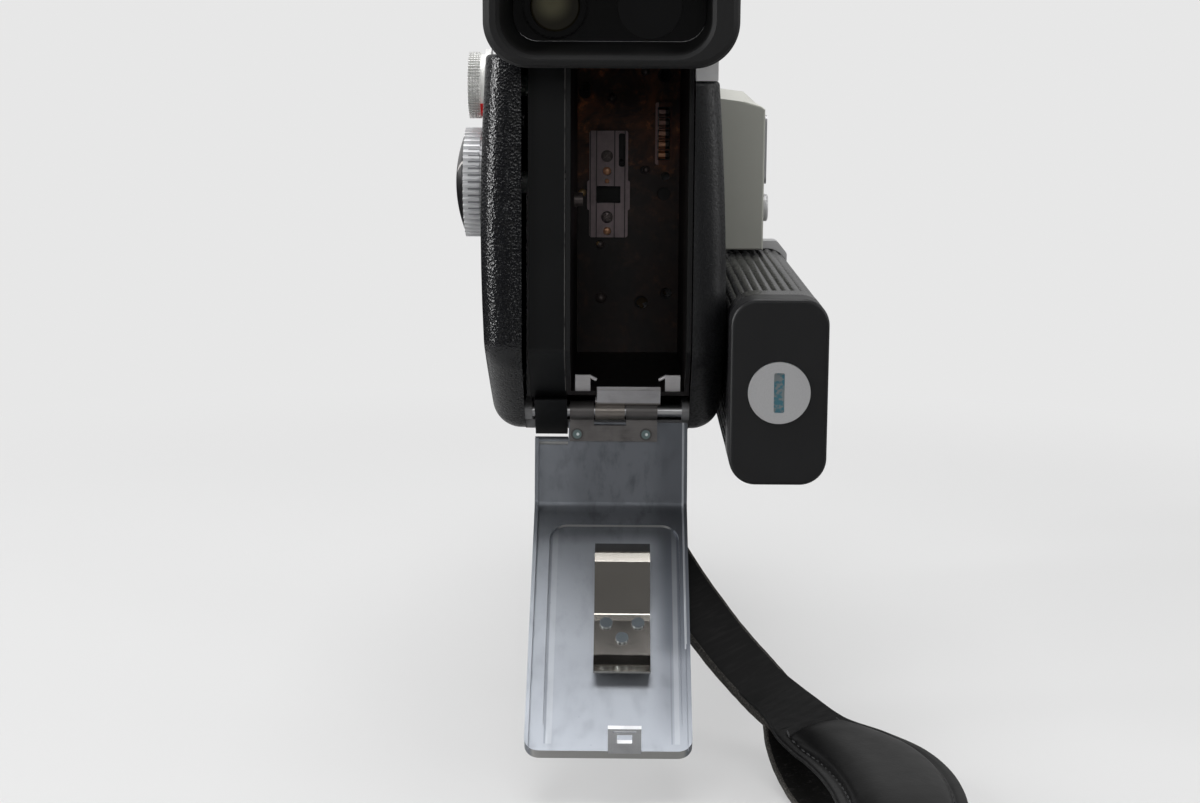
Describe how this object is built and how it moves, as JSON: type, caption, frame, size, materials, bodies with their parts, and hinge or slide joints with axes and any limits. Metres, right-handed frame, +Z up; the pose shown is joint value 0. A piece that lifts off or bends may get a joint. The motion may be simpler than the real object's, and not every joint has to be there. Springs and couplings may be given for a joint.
{
  "type": "movie camera",
  "caption": "Small cartridge movie camera seen from behind, with its film door hanging open, a ribbed battery grip folded along its side, side dials and a leather wrist strap.",
  "frame": {"origin": "mouth of the tripod socket on the underside of the base plate", "axes": "+Y along the lens axis, from the film door towards the lens; +Z up; +X to the right as seen from behind"},
  "size_m": [0.1009, 0.2678, 0.1686],
  "materials": {
    "crackle_paint": "crackle",
    "satin_black": "satin",
    "chamber_black": "matte",
    "cast_grey": "cast",
    "satin_chrome": "satin",
    "steel": "brushed",
    "mauve_plate": "satin",
    "dark_screw": "blackened",
    "copper": "satin",
    "chrome": "polished",
    "rubber": "matte",
    "black_plastic": "satin",
    "amber_glass": "coated",
    "dark_glass": "gloss",
    "clear_glass": "coated",
    "black_ring": "satin",
    "brass": "machined",
    "green_grey_paint": "satin",
    "ribbed_plastic": "matte",
    "cap_plastic": "satin",
    "satin_aluminium": "satin",
    "cell_wrap": "gloss",
    "door_metal": "satin",
    "taupe_plate": "brushed",
    "bright_rivet": "polished",
    "spring_nickel": "brushed",
    "bracket_metal": "satin",
    "knurled_chrome": "satin",
    "ribbed_chrome": "polished",
    "dial_black": "gloss",
    "strap_leather": "suede inner face",
    "pad_leather": "smooth"
  },
  "bodies": {
    "camera_body": {"base_plate": "satin_black", "body_frame": "cast_grey", "body_screws": "dark_screw", "cartridge_clips": "chrome", "chamber_screws": "dark_screw", "counter_window": "dark_glass", "drive_motor": "steel", "eyecup": "rubber", "feeler_comb": "chamber_black", "film_chamber": "chamber_black", "finder_bezel": "black_plastic", "finder_window": "clear_glass", "fixed_hinge_leaf": "chrome", "front_plate": "satin_chrome", "gate_plate": "mauve_plate", "grip_pivot": "steel", "hinge_block": "satin_black", "hinge_rod": "steel", "left_shell": "crackle_paint", "lens_barrel": "satin_black", "lens_mount": "satin_chrome", "right_shell": "crackle_paint", "side_housing": "green_grey_paint", "side_plate": "satin_chrome", "side_strip": "satin_black", "strap_lug": "steel", "strap_pad": "pad_leather", "top_housing": "satin_chrome", "tripod_bush": "steel", "wrist_strap": "strap_leather"},
    "door": {"film_door": "door_metal", "door_hinge_plate": "taupe_plate", "door_rivets": "bright_rivet", "door_clip": "spring_nickel", "catch_bracket": "bracket_metal"},
    "grip": {"grip_head": "black_plastic", "grip_shell": "ribbed_plastic", "battery_cells": "cell_wrap", "battery_contacts": "chrome"},
    "battery_door": {"battery_cap": "cap_plastic"},
    "cap_lock": {"coin_lock": "satin_aluminium"},
    "grip_lock": {"grip_lock_button": "satin_aluminium"},
    "upper_dial_body": {"upper_dial": "knurled_chrome"},
    "lower_dial_body": {"lower_dial": "ribbed_chrome", "lower_dial_cap": "dial_black"},
    "eyepiece": {"eyepiece_ring": "black_plastic", "eyepiece_lens": "amber_glass"},
    "zoom": {"zoom_ring": "black_ring"},
    "focus": {"focus_ring": "black_ring", "front_glass": "clear_glass"},
    "shutter": {"shutter_shaft": "brass", "shutter_disc": "satin_black"},
    "motor_gear": {"motor_pinion": "brass"},
    "transfer": {"transfer_shaft": "steel"},
    "takeup": {"takeup_spindle": "dark_screw"},
    "claw": {"film_claw": "dark_screw"},
    "feelers": {"notch_feelers": "copper"},
    "side_button_body": {"side_button": "satin_aluminium"},
    "trigger_body": {"trigger": "black_plastic"},
    "latch": {"door_latch": "steel"}
  },
  "joints": [
    {"name": "door_swing", "type": "hinge", "parent": "camera_body", "child": "door", "pos_m": [0, -0.0277, 0.00695], "axis": [-1, 0, 0], "range_deg": [0, 126]},
    {"name": "grip_swing", "type": "hinge", "parent": "camera_body", "child": "grip", "pos_m": [0.03615, 0.058, 0.0156], "axis": [1, 0, 0], "range_deg": [0, 90]},
    {"name": "battery_cap_pull", "type": "slide", "parent": "grip", "child": "battery_door", "axis": [0, -1, 0], "range_m": [0, 0.01]},
    {"name": "coin_turn", "type": "hinge", "parent": "battery_door", "child": "cap_lock", "pos_m": [0.03615, -0.054, 0.0156], "axis": [0, -1, 0], "range_deg": [0, 90]},
    {"name": "grip_lock_press", "type": "slide", "parent": "grip", "child": "grip_lock", "axis": [0, 0, -1], "range_m": [0, 0.001], "stiffness_N_per_m": 300, "springref_m": -0.001},
    {"name": "upper_dial_turn", "type": "hinge", "parent": "camera_body", "child": "upper_dial_body", "pos_m": [-0.03, 0, 0.0774], "axis": [-1, 0, 0], "range_deg": [0, 180]},
    {"name": "lower_dial_turn", "type": "hinge", "parent": "camera_body", "child": "lower_dial_body", "pos_m": [-0.03, 0, 0.0553], "axis": [-1, 0, 0], "range_deg": [-150, 150]},
    {"name": "eyepiece_turn", "type": "hinge", "parent": "camera_body", "child": "eyepiece", "pos_m": [-0.0105, -0.048, 0.0942], "axis": [0, -1, 0], "range_deg": [-60, 60]},
    {"name": "zoom_turn", "type": "hinge", "parent": "camera_body", "child": "zoom", "pos_m": [0, 0.09, 0.0508], "axis": [0, 1, 0], "range_deg": [-60, 60]},
    {"name": "focus_turn", "type": "hinge", "parent": "camera_body", "child": "focus", "pos_m": [0, 0.11, 0.0508], "axis": [0, 1, 0], "range_deg": [0, 270]},
    {"name": "shutter_spin", "type": "hinge", "parent": "camera_body", "child": "shutter", "pos_m": [0.002, 0.031, 0.038], "axis": [0, 1, 0], "continuous": true},
    {"name": "motor_spin", "type": "hinge", "parent": "camera_body", "child": "motor_gear", "pos_m": [0.002, 0.031, 0.017], "axis": [0, 1, 0], "continuous": true},
    {"name": "transfer_spin", "type": "hinge", "parent": "camera_body", "child": "transfer", "pos_m": [-0.0136, 0.031, 0.05206], "axis": [0, 1, 0], "continuous": true},
    {"name": "takeup_spin", "type": "hinge", "parent": "camera_body", "child": "takeup", "pos_m": [-0.009, -0.008, 0.05206], "axis": [1, 0, 0], "continuous": true},
    {"name": "claw_pull", "type": "slide", "parent": "camera_body", "child": "claw", "axis": [0, 0, 1], "range_m": [0, 0.0042]},
    {"name": "feeler_press", "type": "slide", "parent": "camera_body", "child": "feelers", "axis": [0, 1, 0], "range_m": [0, 0.001], "stiffness_N_per_m": 200, "springref_m": -0.0005},
    {"name": "side_button_press", "type": "slide", "parent": "camera_body", "child": "side_button_body", "axis": [-1, 0, 0], "range_m": [0, 0.001], "stiffness_N_per_m": 300, "springref_m": -0.001},
    {"name": "trigger_press", "type": "slide", "parent": "camera_body", "child": "trigger_body", "axis": [0, -1, 0], "range_m": [0, 0.003], "stiffness_N_per_m": 400, "springref_m": -0.001},
    {"name": "latch_lift", "type": "slide", "parent": "camera_body", "child": "latch", "axis": [0, 0, 1], "range_m": [0, 0.0013]}
  ],
  "couplings": [
    {"joint": "motor_spin", "follows": "shutter_spin", "ratio": -4},
    {"joint": "transfer_spin", "follows": "shutter_spin", "ratio": -4},
    {"joint": "takeup_spin", "follows": "shutter_spin", "ratio": -1}
  ]
}
